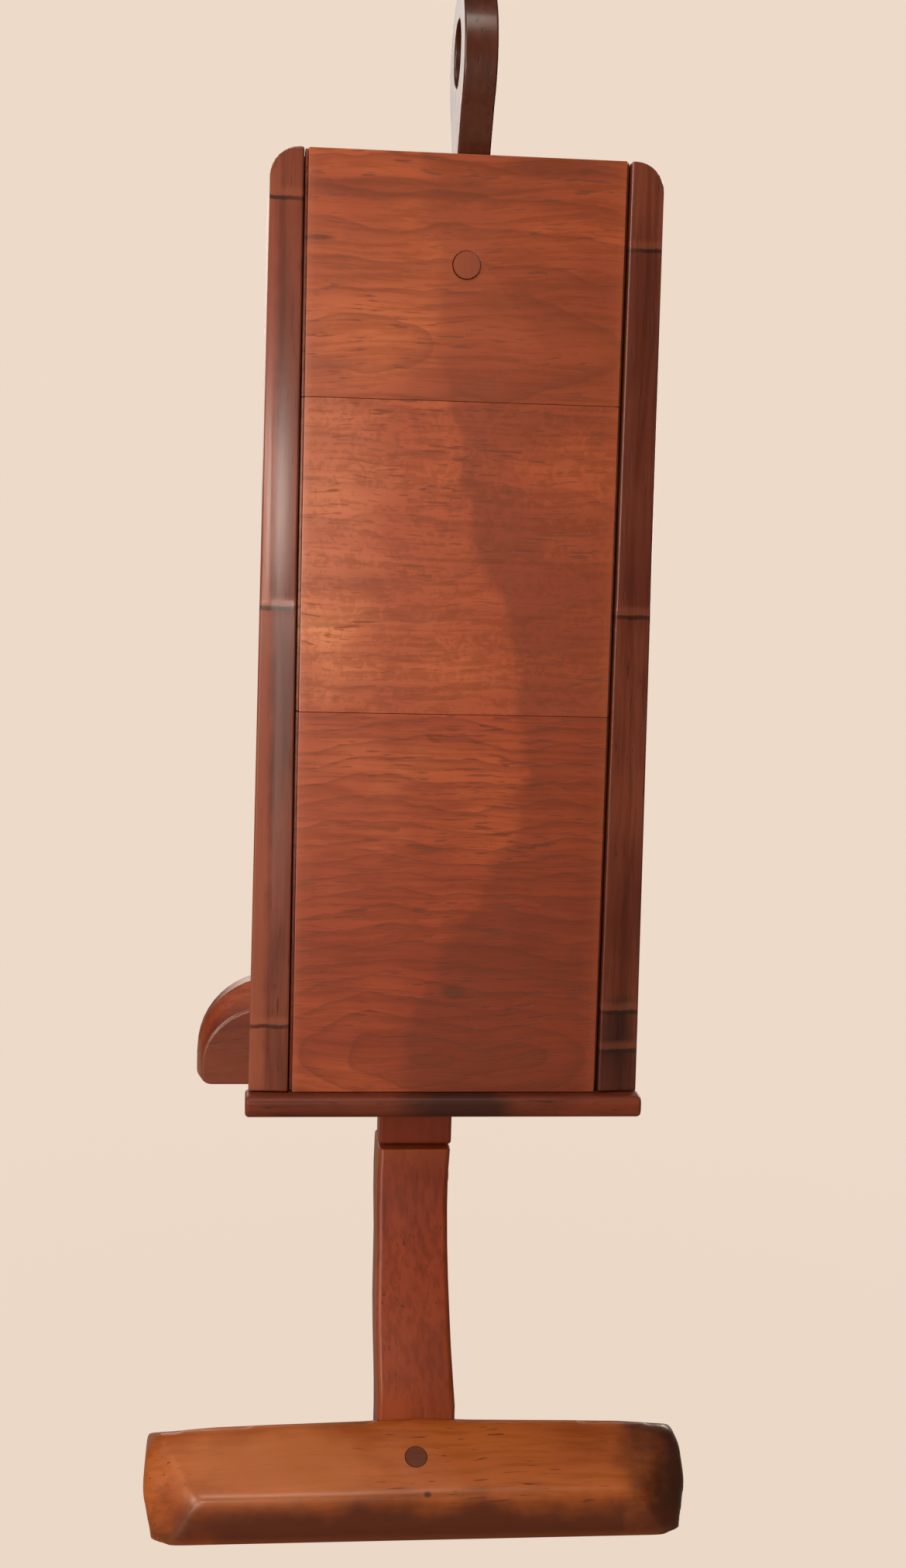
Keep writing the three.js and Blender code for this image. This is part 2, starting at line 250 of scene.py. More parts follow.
# how fine each part of the grain is, and how much it is drawn out along the board
grainScale = {"drift": 14.0, "tone": 55.0, "line": 420.0, "pore": 900.0, "curl": 260.0}
grainStretch = {"tone": 0.22, "line": 0.045, "pore": 0.09}
sway = 12 * mm  # how far the drift may move the grain


# Grain that runs along X: slow tone, long fine lines and short dark pores.
def makeGrainGroup():
    group, given, result = newGroup(
        "woodGrain",
        [("Vector", "Vector", None), ("Line Size", "Float", 1.0), ("Waviness", "Float", 1.0),
         ("Curl", "Float", 0.0), ("Pore Amount", "Float", 0.5)],
        [("Tone", "Float"), ("Lines", "Float"), ("Pores", "Float"), ("Height", "Float")])
    drift = put(group, "TexNoise", {"Vector": given["Vector"], "Scale": grainScale["drift"], "Detail": 2.0})
    centred = put(group, "VectorMath", {0: drift.outputs["Color"], 1: (0.5, 0.5, 0.5)},
                  operation="SUBTRACT")
    amount = calc(group, "MULTIPLY", given["Waviness"], sway)
    offset = put(group, "VectorMath", {0: centred.outputs[0], "Scale": amount}, operation="SCALE")
    wavy = put(group, "VectorMath", {0: given["Vector"], 1: offset.outputs[0]}, operation="ADD").outputs[0]
    stretched = {part: put(group, "Mapping", {"Vector": wavy, "Scale": (stretch, 1.0, 1.0)}).outputs[0]
                 for part, stretch in grainStretch.items()}
    tone = put(group, "TexNoise", {"Vector": stretched["tone"], "Scale": grainScale["tone"],
                                   "Detail": 3.0, "Roughness": 0.55}).outputs["Fac"]
    lineScale = calc(group, "MULTIPLY", given["Line Size"], grainScale["line"])
    lines = put(group, "TexNoise", {"Vector": stretched["line"], "Scale": lineScale,
                                    "Detail": 4.0, "Roughness": 0.62}).outputs["Fac"]
    poreScale = calc(group, "MULTIPLY", given["Line Size"], grainScale["pore"])
    pores = put(group, "TexNoise", {"Vector": stretched["pore"], "Scale": poreScale,
                                    "Detail": 1.0, "Roughness": 0.4}).outputs["Fac"]
    patch = ramp(group, tone, 0.40, 0.62)
    threshold = calc(group, "SUBTRACT", 0.74, calc(group, "MULTIPLY", given["Pore Amount"], 0.2))
    poreMask = ramp(group, pores, threshold, calc(group, "ADD", threshold, 0.07))
    crowding = calc(group, "ADD", calc(group, "MULTIPLY", patch, 0.6), 0.4)  # pores come in bands
    poreMask = calc(group, "MULTIPLY", poreMask, crowding)
    curl = put(group, "TexNoise", {"Vector": wavy, "Scale": grainScale["curl"], "Detail": 2.0,
                                   "Distortion": 1.6}).outputs["Fac"]
    curled = calc(group, "MULTIPLY", calc(group, "SUBTRACT", curl, 0.5), given["Curl"])
    lined = calc(group, "ADD", lines, curled)
    height = calc(group, "SUBTRACT", calc(group, "MULTIPLY", lined, 0.5),
                  calc(group, "MULTIPLY", poreMask, 0.9))
    for label, socket in (("Tone", tone), ("Lines", lined), ("Pores", poreMask), ("Height", height)):
        group.links.new(socket, result[label])
    return group


# Broad growth rings that show as long nested arches where a board was sawn flat.
def makeArchGroup():
    group, given, result = newGroup(
        "growthArches",
        [("Vector", "Vector", None), ("Spacing", "Float", 260.0), ("Flatness", "Float", 0.24),
         ("Wander", "Float", 0.02)],
        [("Arches", "Float")])
    drift = put(group, "TexNoise", {"Vector": given["Vector"], "Scale": 22.0, "Detail": 3.0}).outputs["Fac"]
    flat = put(group, "CombineXYZ", {"X": given["Flatness"], "Y": 0.0, "Z": 1.0}).outputs[0]
    squeezed = put(group, "VectorMath", {0: given["Vector"], 1: flat}, operation="MULTIPLY").outputs[0]
    away = put(group, "VectorMath", {0: squeezed}, operation="LENGTH").outputs["Value"]
    wander = calc(group, "MULTIPLY", drift, given["Wander"])
    ringed = calc(group, "MULTIPLY", calc(group, "ADD", away, wander), given["Spacing"])
    saw = calc(group, "FRACT", ringed)
    crisp = calc(group, "MULTIPLY", calc(group, "POWER", saw, 5.0), ramp(group, saw, 1.0, 0.94))
    group.links.new(calc(group, "ADD", calc(group, "MULTIPLY", saw, 0.15), crisp), result["Arches"])
    return group


# Stain and varnish: three tones mixed by the grain, blotched, darker in the pores.
def makeStainGroup():
    group, given, result = newGroup(
        "woodStain",
        [("Vector", "Vector", None), ("Dark", "Color", None), ("Middle", "Color", None),
         ("Light", "Color", None), ("Tone", "Float", 0.5), ("Lines", "Float", 0.5),
         ("Pores", "Float", 0.0), ("Arches", "Float", 0.0), ("Blotches", "Float", 0.3),
         ("Line Contrast", "Float", 0.4)],
        [("Color", "Color")])
    blotch = put(group, "TexNoise", {"Vector": given["Vector"], "Scale": 19.0, "Detail": 3.0}).outputs["Fac"]
    uneven = calc(group, "MULTIPLY", calc(group, "SUBTRACT", blotch, 0.5), given["Blotches"])
    broad = calc(group, "ADD", given["Tone"], uneven)
    base = blendColor(group, ramp(group, broad, 0.3, 0.7), given["Dark"], given["Light"])
    mixed = blendColor(group, 0.4, base, given["Middle"])
    fine = calc(group, "MULTIPLY", ramp(group, given["Lines"], 0.58, 0.38), given["Line Contrast"])
    lined = put(group, "HueSaturation", {"Color": mixed, "Value": 0.52, "Saturation": 1.06}).outputs[0]
    mixed = blendColor(group, fine, mixed, lined)
    shade = calc(group, "ADD", calc(group, "MULTIPLY", given["Pores"], 0.8),
                 calc(group, "MULTIPLY", given["Arches"], 0.9), True)
    deep = put(group, "HueSaturation", {"Color": given["Dark"], "Value": 0.42, "Saturation": 1.1}).outputs[0]
    group.links.new(blendColor(group, shade, mixed, deep), result["Color"])
    return group


# Handled edges: paler where corners are rubbed, darker in hollows.
def makeEdgeGroup():
    group, given, result = newGroup(
        "rubbedEdges",
        [("Color", "Color", None), ("Pointiness", "Float", 0.5), ("Rubbed", "Color", None),
         ("Amount", "Float", 0.5)],
        [("Color", "Color")])
    worn = calc(group, "MULTIPLY", ramp(group, given["Pointiness"], 0.505, 0.56), given["Amount"])
    darkHollows = calc(group, "MULTIPLY", ramp(group, given["Pointiness"], 0.495, 0.44), given["Amount"])
    pale = blendColor(group, worn, given["Color"], given["Rubbed"])
    group.links.new(blendColor(group, darkHollows, pale, (0.02, 0.006, 0.003, 1.0)), result["Color"])
    return group


# where the painted shadow over the front begins: the height and the place across of each point of its line,
# and the height and width that the line's curve spans, all in millimetres
paintedShadow = {"span": (500, 100), "wander": 16 * mm, "line": [
    (165, -13), (190, -12), (213, -5), (230, 4), (245, 13), (270, 21), (305, 21), (331, 15), (350, 7),
    (370, 2), (396, -4), (450, -12), (475, -14)]}


# A painted shadow that stops along a wandering line: 1 beyond the line, 0 before it.
def makePaintedShadowGroup():
    group, given, result = newGroup(
        "paintedShadowLine", [("Vector", "Vector", None), ("Softness", "Float", 0.0026)], [("Beyond", "Float")])
    spanHeight, spanWidth = paintedShadow["span"]
    parts = put(group, "SeparateXYZ", {0: given["Vector"]}).outputs
    level = calc(group, "DIVIDE", parts["Z"], spanHeight * mm)
    curve = put(group, "FloatCurve", {"Factor": 1.0, "Value": level})
    line = curve.mapping.curves[0]
    line.points[0].location = (0.0, paintedShadow["line"][0][1] / spanWidth + 0.5)
    line.points[1].location = (1.0, paintedShadow["line"][-1][1] / spanWidth + 0.5)
    for height, across in paintedShadow["line"]:
        line.points.new(height / spanHeight, across / spanWidth + 0.5)
    curve.mapping.update()
    edge = calc(group, "MULTIPLY", calc(group, "SUBTRACT", curve.outputs[0], 0.5), spanWidth * mm)
    ragged = put(group, "TexNoise", {"Vector": given["Vector"], "Scale": 60.0, "Detail": 3.0}).outputs["Fac"]
    wander = calc(group, "MULTIPLY", calc(group, "SUBTRACT", ragged, 0.5), paintedShadow["wander"])
    past = calc(group, "ADD", calc(group, "SUBTRACT", parts["X"], edge), wander)
    low = calc(group, "MULTIPLY", given["Softness"], -1.0)
    group.links.new(ramp(group, past, low, given["Softness"]), result["Beyond"])
    return group


# A soft oval patch: 1 in its middle, 0 outside.
def makePatchGroup():
    group, given, result = newGroup(
        "softPatch", [("Vector", "Vector", None), ("Centre", "Vector", None), ("Reach", "Vector", None)],
        [("Patch", "Float")])
    away = put(group, "VectorMath", {0: given["Vector"], 1: given["Centre"]},
               operation="SUBTRACT").outputs[0]
    scaled = put(group, "VectorMath", {0: away, 1: given["Reach"]}, operation="DIVIDE").outputs[0]
    ragged = put(group, "TexNoise", {"Vector": given["Vector"], "Scale": 70.0, "Detail": 3.0}).outputs["Fac"]
    reach = put(group, "VectorMath", {0: scaled}, operation="LENGTH").outputs["Value"]
    rough = calc(group, "ADD", reach, calc(group, "MULTIPLY", calc(group, "SUBTRACT", ragged, 0.5), 0.9))
    group.links.new(ramp(group, rough, 1.1, 0.35), result["Patch"])
    return group


# a bamboo joint: where its dark line and the pale band above it fade out and in, and how far both wander
bambooJoint = {"line": (0.9 * mm, 0.3 * mm), "bandStart": (0.4 * mm, 1.2 * mm),
               "bandEnd": (4.2 * mm, 2.0 * mm), "wander": 1.2 * mm}


# The joint of a bamboo stem: a thin dark line with a paler band above it.
def makeJointGroup():
    group, given, result = newGroup(
        "bambooJoint", [("Vector", "Vector", None), ("Height", "Float", 0.3)],
        [("Dark", "Float"), ("Pale", "Float")])
    z = put(group, "SeparateXYZ", {0: given["Vector"]}).outputs["Z"]
    ragged = put(group, "TexNoise", {"Vector": given["Vector"], "Scale": 240.0, "Detail": 2.0}).outputs["Fac"]
    above = calc(group, "SUBTRACT", z, given["Height"])
    wander = calc(group, "MULTIPLY", calc(group, "SUBTRACT", ragged, 0.5), bambooJoint["wander"])
    above = calc(group, "ADD", above, wander)
    near = calc(group, "ABSOLUTE", above)
    group.links.new(ramp(group, near, *bambooJoint["line"]), result["Dark"])
    band = calc(group, "MULTIPLY", ramp(group, above, *bambooJoint["bandStart"]),
                ramp(group, above, *bambooJoint["bandEnd"]))
    group.links.new(band, result["Pale"])
    return group


grainGroup = makeGrainGroup()
archGroup = makeArchGroup()
stainGroup = makeStainGroup()
edgeGroup = makeEdgeGroup()
paintedShadowGroup = makePaintedShadowGroup()
patchGroup = makePatchGroup()
jointGroup = makeJointGroup()

# turns of the pattern, so that the grain runs along one axis of the piece
alongX = (0.0, 0.0, 0.0)
alongZ = (0.0, math.pi / 2, 0.0)
alongY = (0.0, 0.0, math.pi / 2)


def groupNode(tree, group, sockets):
    node = tree.nodes.new("ShaderNodeGroup")
    node.node_tree = group
    return feed(tree, node, sockets).outputs


# what every wood has unless its own entry says otherwise
plainWood = {"shift": (0, 0, 0), "lineSize": 1.0, "waviness": 1.0, "curl": 0.0, "pores": 0.5, "blotches": 0.5,
             "lineContrast": 0.4, "archFlatness": 0.24, "wear": 0.4, "rough": 0.34, "bump": 0.25,
             "sheen": 0.3, "coat": 0.3, "coatRough": 0.3, "patches": [], "joints": []}
# what all the woods share, with the tint of the painted shadow
stainAndShadow = {"paintedShadow": "96504a", "joint": "200a05", "jointDark": 0.8, "jointPale": 0.35, "lineRough": 0.12,
         "poreRough": 0.2, "bumpDepth": 0.4 * mm}


def makeWood(name, given):
    values = {**plainWood, **given}
    material = bpy.data.materials.new(name)
    material.use_nodes = True
    tree = material.node_tree
    shader = tree.nodes["Principled BSDF"]
    place = put(tree, "TexCoord").outputs["Object"]
    moved = put(tree, "Mapping", {"Vector": place, "Location": values["shift"],
                                  "Rotation": values["grain"]}).outputs[0]
    grain = groupNode(tree, grainGroup, {
        "Vector": moved, "Line Size": values["lineSize"], "Waviness": values["waviness"],
        "Curl": values["curl"], "Pore Amount": values["pores"]})
    arches = 0.0
    if "archCentre" in values:
        centred = put(tree, "Mapping", {"Vector": place, "Location": [-v for v in values["archCentre"]],
                                        "Rotation": values["grain"]}).outputs[0]
        arches = groupNode(tree, archGroup, {"Vector": centred, "Spacing": values["archSpacing"],
                                             "Flatness": values["archFlatness"]})["Arches"]
        arches = calc(tree, "MULTIPLY", arches, values["archStrength"])
    stainAndPaintedLight = groupNode(tree, stainGroup, {
        "Vector": moved, "Dark": colour(values["dark"]), "Middle": colour(values["middle"]),
        "Light": colour(values["light"]), "Tone": grain["Tone"], "Lines": grain["Lines"],
        "Pores": grain["Pores"], "Arches": arches, "Blotches": values["blotches"],
        "Line Contrast": values["lineContrast"]})["Color"]
    # painted shadow: the board is darker beyond a wandering line, over the right of the front
    if "paintedShadow" in values:
        beyond = groupNode(tree, paintedShadowGroup, {"Vector": place})["Beyond"]
        amount = calc(tree, "MULTIPLY", beyond, values["paintedShadow"])
        stainAndPaintedLight = blendColor(tree, amount, stainAndPaintedLight, colour(stainAndShadow["paintedShadow"]), "MULTIPLY")
    for centre, reach, tint, amount in values["patches"]:
        patch = groupNode(tree, patchGroup, {"Vector": place, "Centre": centre, "Reach": reach})["Patch"]
        strength = calc(tree, "MULTIPLY", patch, amount)
        if isinstance(tint, str):
            stainAndPaintedLight = blendColor(tree, strength, stainAndPaintedLight, colour(tint))
        else:  # a tuple lightens or darkens and lets the grain through
            stainAndPaintedLight = blendColor(tree, strength, stainAndPaintedLight, (*tint, 1.0), "MULTIPLY")
    for height in values["joints"]:
        joint = groupNode(tree, jointGroup, {"Vector": place, "Height": height})
        pale = calc(tree, "MULTIPLY", joint["Pale"], stainAndShadow["jointPale"])
        stainAndPaintedLight = blendColor(tree, pale, stainAndPaintedLight, colour(values["rubbed"]))
        dark = calc(tree, "MULTIPLY", joint["Dark"], stainAndShadow["jointDark"])
        stainAndPaintedLight = blendColor(tree, dark, stainAndPaintedLight, colour(stainAndShadow["joint"]))
    corner = put(tree, "NewGeometry").outputs["Pointiness"]
    edged = groupNode(tree, edgeGroup, {
        "Color": stainAndPaintedLight, "Pointiness": corner, "Rubbed": colour(values["rubbed"]),
        "Amount": values["wear"]})["Color"]
    tree.links.new(edged, shader.inputs["Base Color"])
    rough = calc(tree, "ADD", calc(tree, "MULTIPLY", grain["Lines"], stainAndShadow["lineRough"]), values["rough"])
    rough = calc(tree, "ADD", rough, calc(tree, "MULTIPLY", grain["Pores"], stainAndShadow["poreRough"]))
    tree.links.new(rough, shader.inputs["Roughness"])
    bump = put(tree, "Bump", {"Height": grain["Height"], "Strength": values["bump"],
                              "Distance": stainAndShadow["bumpDepth"]})
    tree.links.new(bump.outputs[0], shader.inputs["Normal"])
    shader.inputs["Specular IOR Level"].default_value = values["sheen"]
    shader.inputs["Coat Weight"].default_value = values["coat"]
    shader.inputs["Coat Roughness"].default_value = values["coatRough"]
    return material


frontDepth = -86 * mm  # about where the front's pieces face


# A patch on the front: place across and height, reach across and upwards, tint and amount.
def frontPatch(x, z, across, upwards, tint, amount=1.0):
    return (x, frontDepth, z), (across, 1.0, upwards), tint, amount


# colours of each wood from dark to light, "rubbed" where edges are worn; "patches" lists centre, reach, tint
# and amount of each patch: marks, a crack, painted shade, painted sheen, painted glints and places that are
# only darker or lighter
boardTones = {
    "upper": {"grain": alongX, "dark": "7c2e16", "middle": "903d1e", "light": "a34c29", "rubbed": "a85a36",
              "shift": (0.3, 0.0, 0.11), "pores": 0.62, "curl": 0.15, "lineSize": 1.3, "lineContrast": 0.66,
              "archCentre": (-0.062, 0.0, 0.413), "archSpacing": 105.0, "archFlatness": 0.15,
              "archStrength": 0.75, "paintedShadow": 0.38, "coat": 0.45, "coatRough": 0.28, "patches": [
                  # painted shade along the top, near the ring: this patch and the next
                  frontPatch(-0.02, 0.460, 0.06, 0.004, (0.6, 0.5, 0.5)),
                  frontPatch(0.03, 0.468, 0.025, 0.004, (0.6, 0.5, 0.5)),
                  # painted sheen: lighter on the left
                  frontPatch(-0.028, 0.425, 0.032, 0.036, (1.22, 1.5, 1.5)),
                  frontPatch(0.036, 0.448, 0.03, 0.008, (1.25, 1.35, 1.3)),
                  frontPatch(-0.0463, 0.4443, 0.0065, 0.0011, (0.1, 0.08, 0.08))]},  # a short crack
    "middle": {"grain": alongX, "dark": "802e17", "middle": "963f21", "light": "ac5431", "rubbed": "a85a36",
               "shift": (0.9, 0.0, 0.4), "pores": 0.62, "curl": 0.7, "lineSize": 1.3, "lineContrast": 0.62,
               "archCentre": (-0.05, 0.0, 0.350), "archSpacing": 90.0, "archFlatness": 0.17,
               "archStrength": 0.45, "paintedShadow": 0.6, "coat": 0.45, "coatRough": 0.28, "patches": [
                   frontPatch(0.036, 0.374, 0.03, 0.014, (1.5, 1.9, 1.8)),
                   # painted sheen: lighter on the left, in this patch and the next
                   frontPatch(-0.052, 0.36, 0.034, 0.085, (1.35, 2.0, 2.5)),
                   frontPatch(-0.02, 0.318, 0.045, 0.024, (1.2, 1.45, 1.5))]},
    "lower": {"grain": alongX, "dark": "712210", "middle": "873017", "light": "9c4423", "rubbed": "a05230",
              "shift": (0.1, 0.0, 0.7), "pores": 0.68, "curl": 0.15, "lineSize": 1.3, "lineContrast": 0.62,
              "archCentre": (0.0, 0.0, 0.186), "archSpacing": 170.0, "archFlatness": 0.3,
              "archStrength": 0.75, "paintedShadow": 0.52, "coat": 0.4, "coatRough": 0.28, "patches": [
                  frontPatch(0.0025, 0.208, 0.005, 0.003, (0.25, 0.2, 0.2)),  # a small dark mark
                  frontPatch(0.025, 0.195, 0.07, 0.05, (0.72, 0.48, 0.48)),
                  # painted sheen: lighter on the left, in this patch and the next
                  frontPatch(-0.03, 0.178, 0.024, 0.012, (1.3, 1.7, 1.6)),
                  frontPatch(-0.05, 0.275, 0.045, 0.045, (1.35, 1.9, 2.1)),
                  frontPatch(-0.003, 0.270, 0.034, 0.026, (1.18, 1.45, 1.4))]},
}
woods = {
    "sideWood": {"grain": alongZ, "dark": "5e2212", "middle": "75321a", "light": "884426", "rubbed": "985030",
                 "shift": (0.2, 0.5, 0.0)},
    "bambooLeft": {"grain": alongZ, "dark": "4c1f12", "middle": "642d1d", "light": "783e2b",
                   "rubbed": "8c4a34", "lineSize": 1.6, "waviness": 0.2, "pores": 0.35, "coatRough": 0.2,
                   "sheen": 0.12, "wear": 0.15, "blotches": 0.9, "lineContrast": 0.5,
                   "joints": [0.4555, 0.3305, 0.1965],
                   # painted light along the outer edge, where the rounded edge catches it
                   "patches": [frontPatch(-0.0612, 0.32, 0.0042, 0.4, "8a4a36", 0.7)]},
    "bambooRight": {"grain": alongZ, "dark": "481a0e", "middle": "5e2919", "light": "723825",
                    "rubbed": "7f4430", "shift": (0.3, 0.4, 0.2), "lineSize": 1.6, "waviness": 0.2,
                    "pores": 0.35, "coat": 0.4, "coatRough": 0.26, "blotches": 0.9, "lineContrast": 0.5,
                    "wear": 0.15, "joints": [0.444, 0.330, 0.2015, 0.1885],
                    "patches": [frontPatch(0.0558, 0.196, 0.008, 0.012, (0.4, 0.35, 0.4)),
                                frontPatch(0.056, 0.176, 0.012, 0.03, (0.38, 0.32, 0.36))]},
    "mouldingWood": {"grain": alongX, "dark": "3a130a", "middle": "5c2513", "light": "743320",
                     "rubbed": "9a5a44", "lineSize": 1.2, "pores": 0.4, "coat": 0.12, "sheen": 0.15,
                     "rough": 0.42, "wear": 0.08, "blotches": 1.0,
                     "patches": [((0.006, -0.09, 0.171), (0.024, 1.0, 0.02), "1c0805", 0.95)]},
    "ringWood": {"grain": alongZ, "dark": "2e1006", "middle": "3f1909", "light": "552511", "rubbed": "74402a",
                 "lineSize": 1.3, "pores": 0.3, "coat": 0.4, "coatRough": 0.2, "blotches": 0.9, "wear": 0.1},
    "legWood": {"grain": alongZ, "dark": "6e240e", "middle": "832f14", "light": "953f1e", "rubbed": "a85a32",
                "lineSize": 1.1, "pores": 0.28, "lineContrast": 0.5, "sheen": 0.2},
    # a darker copy of the leg's wood: painted shade under the column
    "shadedNeckWood": {"grain": alongZ, "dark": "5c1b0a", "middle": "6d230d", "light": "7d2e15", "rubbed": "94401f",
                 "lineSize": 1.1, "pores": 0.25, "sheen": 0.2},
    "footWood": {"grain": alongX, "dark": "80380f", "middle": "96491a", "light": "ac5c26", "rubbed": "bc7238",
                 "lineSize": 1.1, "pores": 0.3, "coatRough": 0.24, "lineContrast": 0.35, "wear": 0.1,
                 "patches": [((0.100, -0.02, 0.012), (0.030, 1.0, 0.06), "2c1008", 0.9),  # painted shade on the dark right end
                             # painted glints at the left end of the front ridge: this patch and the next
                             ((-0.0815, -0.0515, 0.0165), (0.004, 0.005, 0.005), "f0d8c8", 0.85),
                             ((-0.0835, -0.046, 0.021), (0.003, 0.009, 0.007), "e0a888", 0.6),
                             ((-0.05, -0.035, 0.024), (0.05, 0.024, 0.02), "b86c3c", 0.6),
                             ((0.0025, -0.045, 0.0163), (0.0018, 1.0, 0.0012), "2a1008", 0.85),  # a knot
                             ((0.0, -0.044, 0.003), (0.16, 0.011, 0.0155), "4c1e0d", 0.95)]},  # painted shade on the front face, darkest at the bottom
    "armWood": {"grain": alongX, "dark": "6c2711", "middle": "80351b", "light": "944829", "rubbed": "a85c3c",
                "lineSize": 1.3, "coat": 0.4, "coatRough": 0.24, "patches": [
                    ((-0.07, 0.0306, 0.156), (0.05, 0.005, 0.03), (0.5, 0.36, 0.32), 1.0)]},
    "plugWood": {"grain": alongZ, "dark": "682c1a", "middle": "7a3922", "light": "88452c", "rubbed": "844026",
                 "lineSize": 1.6, "blotches": 0.8},
    "footPlugWood": {"grain": alongX, "dark": "481c0c", "middle": "582713", "light": "66321a",
                     "rubbed": "582814", "lineSize": 1.6, "pores": 0.4},
    "pegWood": {"grain": alongY, "dark": "7d381a", "middle": "944c24", "light": "a65e30", "rubbed": "b57444",
                "lineSize": 1.2, "pores": 0.35},
    "innerWood": {"grain": alongX, "dark": "8c5f44", "middle": "a3765a", "light": "b48a6c",
                  "rubbed": "b48a6c", "pores": 0.4, "coat": 0.0, "rough": 0.6},
}
finishes = {name: makeWood(name, values) for name, values in woods.items()}
for part, values in boardTones.items():
    finishes[part + "BoardWood"] = makeWood(part + "BoardWood", values)

steel = {"dark": "8a8d91", "light": "b2b5b8", "grit": 900.0, "metal": 0.95, "rough": 0.25}


def makeSteel():
    material = bpy.data.materials.new("screwSteel")
    material.use_nodes = True
    tree = material.node_tree
    shader = tree.nodes["Principled BSDF"]
    place = put(tree, "TexCoord").outputs["Object"]
    speckle = put(tree, "TexNoise", {"Vector": place, "Scale": steel["grit"], "Detail": 3.0}).outputs["Fac"]
    tint = blendColor(tree, speckle, colour(steel["dark"]), colour(steel["light"]))
    tree.links.new(tint, shader.inputs["Base Color"])
    rough = calc(tree, "ADD", calc(tree, "MULTIPLY", speckle, steel["rough"]), steel["rough"])
    tree.links.new(rough, shader.inputs["Roughness"])
    shader.inputs["Metallic"].default_value = steel["metal"]
    return material


finishes["screwSteel"] = makeSteel()
print("finishes made:", len(finishes))

# "bow" rounds the side edges: millimetres in from the edge, and how far the face falls back there
board = {"edge": 0.3 * mm, "close": 0.12 * mm, "tongue": 1.0 * mm, "tongueSetBack": 3.5,
         "plugGap": 0.14 * mm, "plugDepth": 8 * mm,
         "bow": [(0.0, 0.62), (2.5, 0.33), (5.5, 0.11), (9.0, 0.0), (11.0, 0.0)]}


def makeBoards():
    for part in ("lower", "middle", "upper"):
        node = "front_board_" + part
        low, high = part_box(node)
        faceHalf = high.x - board["tongue"]
        bottom = low.z - board["close"]
        top = high.z if part == "upper" else high.z + board["close"]
        piece = addBox("frontBoard" + part.capitalize(), (-faceHalf, low.y, bottom), (faceHalf, high.y, top))
        setBack = behind(board["tongueSetBack"])
        cutAcross(piece, (0, setBack, 0), (0, 1, 0))
        for side in (-1, 1):
            openEdit(piece, "FACE", lambda centre, normal: normal.x * side > 0.9 and centre.y > setBack)
            bpy.ops.mesh.extrude_region_move(TRANSFORM_OT_translate={"value": (side * board["tongue"], 0, 0)})
            closeEdit()
        for inwards, back in board["bow"]:
            for side in (-1, 1):
                x = side * (faceHalf - inwards * mm)
                if inwards:
                    cutAcross(piece, (x, 0, 0), (1, 0, 0))
                movePoints(piece, lambda p: at(p.x, x) and at(p.y, low.y), (0, back * mm, 0))
        if part == "upper":
            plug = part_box("panel_plug")
            drillHole(piece, plug, board["plugGap"], board["plugDepth"], (0, low.y, middleHeight(plug)))
        soften(piece, board["edge"], 2, 50)
        shadeSmooth(piece, 35)
        finishPiece(piece, finishes[part + "BoardWood"], "column_wood", node)


plain = {"corner": 7.8 * mm, "sideEdge": 0.6 * mm, "edge": 0.7 * mm}


def makePlainBoards():
    for name, node in (("leftSide", "left_side"), ("rightSide", "right_side")):
        low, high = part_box(node)
        piece = addBox(name, low, high)
        roundTopCorner(piece, low.x if node.startswith("left") else high.x, high.z, plain["corner"])
        soften(piece, plain["sideEdge"], 2, 50)
        shadeSmooth(piece, 35)
        finishPiece(piece, finishes["sideWood"], "column_wood", node)
    for name, node, material, slotName in (
            ("backBoard", "back_board", "sideWood", "column_wood"),
            ("topBoard", "top_board", "sideWood", "column_wood"),
            ("bottomBoard", "bottom_board", "sideWood", "column_wood"),
            ("lowerRail", "lower_rail", "innerWood", "inner_wood"),
            ("upperRail", "upper_rail", "innerWood", "inner_wood")):
        piece = addBox(name, *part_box(node))
        soften(piece, plain["edge"], 2, 50)
        shadeSmooth(piece, 35)
        finishPiece(piece, finishes[material], slotName, node)


# "flares" spread the foot of the strip and "bow" rounds its face, both as places and moves in millimetres
strip = {"outer": 61 * mm, "corner": 9 * mm, "edge": 0.7 * mm, "skin": 1 * mm,
         "flares": [(0.0, 2.3), (4.5, 1.6), (9.0, 0.7), (15.0, 0.0)],
         "nodeHeights": [0.1965, 0.3305], "nodeCuts": (-3.0, -1.4, 1.4, 3.0), "nodeHalf": 1.5 * mm,
         "nodeSwell": 0.09 * mm, "bow": [(0.0, 1.0), (2.2, 0.35), (4.8, 0.06)]}


